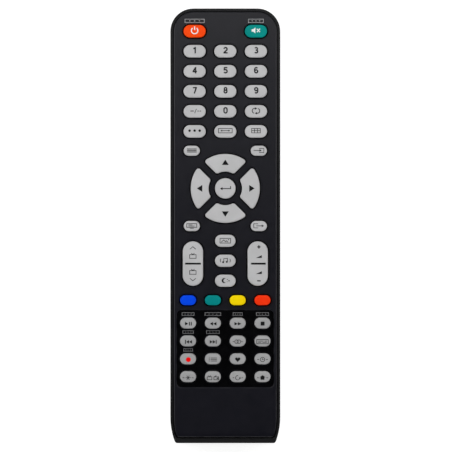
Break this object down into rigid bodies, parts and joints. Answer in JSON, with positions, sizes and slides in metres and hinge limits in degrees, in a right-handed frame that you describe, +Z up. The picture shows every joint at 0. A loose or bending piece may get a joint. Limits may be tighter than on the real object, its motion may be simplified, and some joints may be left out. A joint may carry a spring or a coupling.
{
  "type": "remote control",
  "caption": "Slim black infrared remote control with grey rubber keys, a direction pad, two rocker keys, coloured keys and a sliding battery cover.",
  "frame": {"origin": "on the surface that the remote control lies on, under the middle of its box", "axes": "+Y towards the head end with the infrared window, +Z up out of the key face, +X to the right"},
  "size_m": [0.048, 0.19, 0.0225],
  "materials": {
    "case_black": "fine satin",
    "key_grey": "soft matt",
    "key_orange": "soft matt",
    "key_teal": "soft matt",
    "key_blue": "soft matt",
    "key_green": "soft matt",
    "key_yellow": "soft matt",
    "key_red": "soft matt",
    "mat_grey": "matt",
    "print_black": "printed ink",
    "print_white": "printed ink",
    "board_green": "lacquered",
    "component_black": "moulded",
    "contact_steel": "nickel plated",
    "cell_jacket": "printed jacket",
    "window_dark": "polished"
  },
  "bodies": {
    "case": {"top_case": "case_black", "bottom_case": "case_black", "infrared_window": "window_dark", "keypad_mat": "mat_grey", "circuit_board": "board_green", "board_components": "component_black", "battery_contacts": "contact_steel", "batteries": "cell_jacket"},
    "battery_cover": {"battery_cover": "case_black"},
    "power_key": {"power_key": "key_orange"},
    "mute_key": {"mute_key": "key_teal"},
    "digit_1_key": {"digit_1_key": "key_grey"},
    "digit_2_key": {"digit_2_key": "key_grey"},
    "digit_3_key": {"digit_3_key": "key_grey"},
    "digit_4_key": {"digit_4_key": "key_grey"},
    "digit_5_key": {"digit_5_key": "key_grey"},
    "digit_6_key": {"digit_6_key": "key_grey"},
    "digit_7_key": {"digit_7_key": "key_grey"},
    "digit_8_key": {"digit_8_key": "key_grey"},
    "digit_9_key": {"digit_9_key": "key_grey"},
    "dash_key": {"dash_key": "key_grey"},
    "digit_0_key": {"digit_0_key": "key_grey"},
    "recall_key": {"recall_key": "key_grey"},
    "function_key": {"function_key": "key_grey"},
    "aspect_key": {"aspect_key": "key_grey"},
    "guide_key": {"guide_key": "key_grey"},
    "menu_key": {"menu_key": "key_grey"},
    "input_key": {"input_key": "key_grey"},
    "up_key": {"up_key": "key_grey"},
    "down_key": {"down_key": "key_grey"},
    "left_key": {"left_key": "key_grey"},
    "right_key": {"right_key": "key_grey"},
    "enter_key": {"enter_key": "key_grey"},
    "display_key": {"display_key": "key_grey"},
    "exit_key": {"exit_key": "key_grey"},
    "picture_mode_key": {"picture_mode_key": "key_grey"},
    "sound_mode_key": {"sound_mode_key": "key_grey"},
    "sleep_key": {"sleep_key": "key_grey"},
    "blue_key": {"blue_key": "key_blue"},
    "green_key": {"green_key": "key_green"},
    "yellow_key": {"yellow_key": "key_yellow"},
    "red_key": {"red_key": "key_red"},
    "play_pause_key": {"play_pause_key": "key_grey"},
    "rewind_key": {"rewind_key": "key_grey"},
    "fast_forward_key": {"fast_forward_key": "key_grey"},
    "stop_key": {"stop_key": "key_grey"},
    "previous_key": {"previous_key": "key_grey"},
    "next_key": {"next_key": "key_grey"},
    "audio_key": {"audio_key": "key_grey"},
    "subtitle_key": {"subtitle_key": "key_grey"},
    "record_key": {"record_key": "key_grey"},
    "list_key": {"list_key": "key_grey"},
    "favourite_key": {"favourite_key": "key_grey"},
    "timeshift_key": {"timeshift_key": "key_grey"},
    "freeze_key": {"freeze_key": "key_grey"},
    "tv_radio_key": {"tv_radio_key": "key_grey"},
    "auto_key": {"auto_key": "key_grey"},
    "home_key": {"home_key": "key_grey"},
    "channel_rocker": {"channel_rocker": "key_grey"},
    "volume_rocker": {"volume_rocker": "key_grey"}
  },
  "joints": [
    {"name": "battery_cover_slide", "type": "slide", "parent": "case", "child": "battery_cover", "axis": [0, -1, 0], "range_m": [0, 0.06]},
    {"name": "power_press", "type": "slide", "parent": "case", "child": "power_key", "axis": [0, 0, -1], "range_m": [0, 0.001], "stiffness_N_per_m": 1200},
    {"name": "mute_press", "type": "slide", "parent": "case", "child": "mute_key", "axis": [0, 0, -1], "range_m": [0, 0.001], "stiffness_N_per_m": 1200},
    {"name": "digit_1_press", "type": "slide", "parent": "case", "child": "digit_1_key", "axis": [0, 0, -1], "range_m": [0, 0.001], "stiffness_N_per_m": 1200},
    {"name": "digit_2_press", "type": "slide", "parent": "case", "child": "digit_2_key", "axis": [0, 0, -1], "range_m": [0, 0.001], "stiffness_N_per_m": 1200},
    {"name": "digit_3_press", "type": "slide", "parent": "case", "child": "digit_3_key", "axis": [0, 0, -1], "range_m": [0, 0.001], "stiffness_N_per_m": 1200},
    {"name": "digit_4_press", "type": "slide", "parent": "case", "child": "digit_4_key", "axis": [0, 0, -1], "range_m": [0, 0.001], "stiffness_N_per_m": 1200},
    {"name": "digit_5_press", "type": "slide", "parent": "case", "child": "digit_5_key", "axis": [0, 0, -1], "range_m": [0, 0.001], "stiffness_N_per_m": 1200},
    {"name": "digit_6_press", "type": "slide", "parent": "case", "child": "digit_6_key", "axis": [0, 0, -1], "range_m": [0, 0.001], "stiffness_N_per_m": 1200},
    {"name": "digit_7_press", "type": "slide", "parent": "case", "child": "digit_7_key", "axis": [0, 0, -1], "range_m": [0, 0.001], "stiffness_N_per_m": 1200},
    {"name": "digit_8_press", "type": "slide", "parent": "case", "child": "digit_8_key", "axis": [0, 0, -1], "range_m": [0, 0.001], "stiffness_N_per_m": 1200},
    {"name": "digit_9_press", "type": "slide", "parent": "case", "child": "digit_9_key", "axis": [0, 0, -1], "range_m": [0, 0.001], "stiffness_N_per_m": 1200},
    {"name": "dash_press", "type": "slide", "parent": "case", "child": "dash_key", "axis": [0, 0, -1], "range_m": [0, 0.001], "stiffness_N_per_m": 1200},
    {"name": "digit_0_press", "type": "slide", "parent": "case", "child": "digit_0_key", "axis": [0, 0, -1], "range_m": [0, 0.001], "stiffness_N_per_m": 1200},
    {"name": "recall_press", "type": "slide", "parent": "case", "child": "recall_key", "axis": [0, 0, -1], "range_m": [0, 0.001], "stiffness_N_per_m": 1200},
    {"name": "function_press", "type": "slide", "parent": "case", "child": "function_key", "axis": [0, 0, -1], "range_m": [0, 0.001], "stiffness_N_per_m": 1200},
    {"name": "aspect_press", "type": "slide", "parent": "case", "child": "aspect_key", "axis": [0, 0, -1], "range_m": [0, 0.001], "stiffness_N_per_m": 1200},
    {"name": "guide_press", "type": "slide", "parent": "case", "child": "guide_key", "axis": [0, 0, -1], "range_m": [0, 0.001], "stiffness_N_per_m": 1200},
    {"name": "menu_press", "type": "slide", "parent": "case", "child": "menu_key", "axis": [0, 0, -1], "range_m": [0, 0.001], "stiffness_N_per_m": 1200},
    {"name": "input_press", "type": "slide", "parent": "case", "child": "input_key", "axis": [0, 0, -1], "range_m": [0, 0.001], "stiffness_N_per_m": 1200},
    {"name": "up_press", "type": "slide", "parent": "case", "child": "up_key", "axis": [0, 0, -1], "range_m": [0, 0.001], "stiffness_N_per_m": 1200},
    {"name": "down_press", "type": "slide", "parent": "case", "child": "down_key", "axis": [0, 0, -1], "range_m": [0, 0.001], "stiffness_N_per_m": 1200},
    {"name": "left_press", "type": "slide", "parent": "case", "child": "left_key", "axis": [0, 0, -1], "range_m": [0, 0.001], "stiffness_N_per_m": 1200},
    {"name": "right_press", "type": "slide", "parent": "case", "child": "right_key", "axis": [0, 0, -1], "range_m": [0, 0.001], "stiffness_N_per_m": 1200},
    {"name": "enter_press", "type": "slide", "parent": "case", "child": "enter_key", "axis": [0, 0, -1], "range_m": [0, 0.001], "stiffness_N_per_m": 1200},
    {"name": "display_press", "type": "slide", "parent": "case", "child": "display_key", "axis": [0, 0, -1], "range_m": [0, 0.001], "stiffness_N_per_m": 1200},
    {"name": "exit_press", "type": "slide", "parent": "case", "child": "exit_key", "axis": [0, 0, -1], "range_m": [0, 0.001], "stiffness_N_per_m": 1200},
    {"name": "picture_mode_press", "type": "slide", "parent": "case", "child": "picture_mode_key", "axis": [0, 0, -1], "range_m": [0, 0.001], "stiffness_N_per_m": 1200},
    {"name": "sound_mode_press", "type": "slide", "parent": "case", "child": "sound_mode_key", "axis": [0, 0, -1], "range_m": [0, 0.001], "stiffness_N_per_m": 1200},
    {"name": "sleep_press", "type": "slide", "parent": "case", "child": "sleep_key", "axis": [0, 0, -1], "range_m": [0, 0.001], "stiffness_N_per_m": 1200},
    {"name": "blue_press", "type": "slide", "parent": "case", "child": "blue_key", "axis": [0, 0, -1], "range_m": [0, 0.001], "stiffness_N_per_m": 1200},
    {"name": "green_press", "type": "slide", "parent": "case", "child": "green_key", "axis": [0, 0, -1], "range_m": [0, 0.001], "stiffness_N_per_m": 1200},
    {"name": "yellow_press", "type": "slide", "parent": "case", "child": "yellow_key", "axis": [0, 0, -1], "range_m": [0, 0.001], "stiffness_N_per_m": 1200},
    {"name": "red_press", "type": "slide", "parent": "case", "child": "red_key", "axis": [0, 0, -1], "range_m": [0, 0.001], "stiffness_N_per_m": 1200},
    {"name": "play_pause_press", "type": "slide", "parent": "case", "child": "play_pause_key", "axis": [0, 0, -1], "range_m": [0, 0.001], "stiffness_N_per_m": 1200},
    {"name": "rewind_press", "type": "slide", "parent": "case", "child": "rewind_key", "axis": [0, 0, -1], "range_m": [0, 0.001], "stiffness_N_per_m": 1200},
    {"name": "fast_forward_press", "type": "slide", "parent": "case", "child": "fast_forward_key", "axis": [0, 0, -1], "range_m": [0, 0.001], "stiffness_N_per_m": 1200},
    {"name": "stop_press", "type": "slide", "parent": "case", "child": "stop_key", "axis": [0, 0, -1], "range_m": [0, 0.001], "stiffness_N_per_m": 1200},
    {"name": "previous_press", "type": "slide", "parent": "case", "child": "previous_key", "axis": [0, 0, -1], "range_m": [0, 0.001], "stiffness_N_per_m": 1200},
    {"name": "next_press", "type": "slide", "parent": "case", "child": "next_key", "axis": [0, 0, -1], "range_m": [0, 0.001], "stiffness_N_per_m": 1200},
    {"name": "audio_press", "type": "slide", "parent": "case", "child": "audio_key", "axis": [0, 0, -1], "range_m": [0, 0.001], "stiffness_N_per_m": 1200},
    {"name": "subtitle_press", "type": "slide", "parent": "case", "child": "subtitle_key", "axis": [0, 0, -1], "range_m": [0, 0.001], "stiffness_N_per_m": 1200},
    {"name": "record_press", "type": "slide", "parent": "case", "child": "record_key", "axis": [0, 0, -1], "range_m": [0, 0.001], "stiffness_N_per_m": 1200},
    {"name": "list_press", "type": "slide", "parent": "case", "child": "list_key", "axis": [0, 0, -1], "range_m": [0, 0.001], "stiffness_N_per_m": 1200},
    {"name": "favourite_press", "type": "slide", "parent": "case", "child": "favourite_key", "axis": [0, 0, -1], "range_m": [0, 0.001], "stiffness_N_per_m": 1200},
    {"name": "timeshift_press", "type": "slide", "parent": "case", "child": "timeshift_key", "axis": [0, 0, -1], "range_m": [0, 0.001], "stiffness_N_per_m": 1200},
    {"name": "freeze_press", "type": "slide", "parent": "case", "child": "freeze_key", "axis": [0, 0, -1], "range_m": [0, 0.001], "stiffness_N_per_m": 1200},
    {"name": "tv_radio_press", "type": "slide", "parent": "case", "child": "tv_radio_key", "axis": [0, 0, -1], "range_m": [0, 0.001], "stiffness_N_per_m": 1200},
    {"name": "auto_press", "type": "slide", "parent": "case", "child": "auto_key", "axis": [0, 0, -1], "range_m": [0, 0.001], "stiffness_N_per_m": 1200},
    {"name": "home_press", "type": "slide", "parent": "case", "child": "home_key", "axis": [0, 0, -1], "range_m": [0, 0.001], "stiffness_N_per_m": 1200},
    {"name": "channel_tilt", "type": "hinge", "parent": "case", "child": "channel_rocker", "pos_m": [-0.01415, -0.0165, 0.01725], "axis": [1, 0, 0], "range_deg": [-4, 4], "stiffness_Nm_per_rad": 0.1},
    {"name": "volume_tilt", "type": "hinge", "parent": "case", "child": "volume_rocker", "pos_m": [0.01415, -0.0165, 0.01725], "axis": [1, 0, 0], "range_deg": [-4, 4], "stiffness_Nm_per_rad": 0.1}
  ]
}
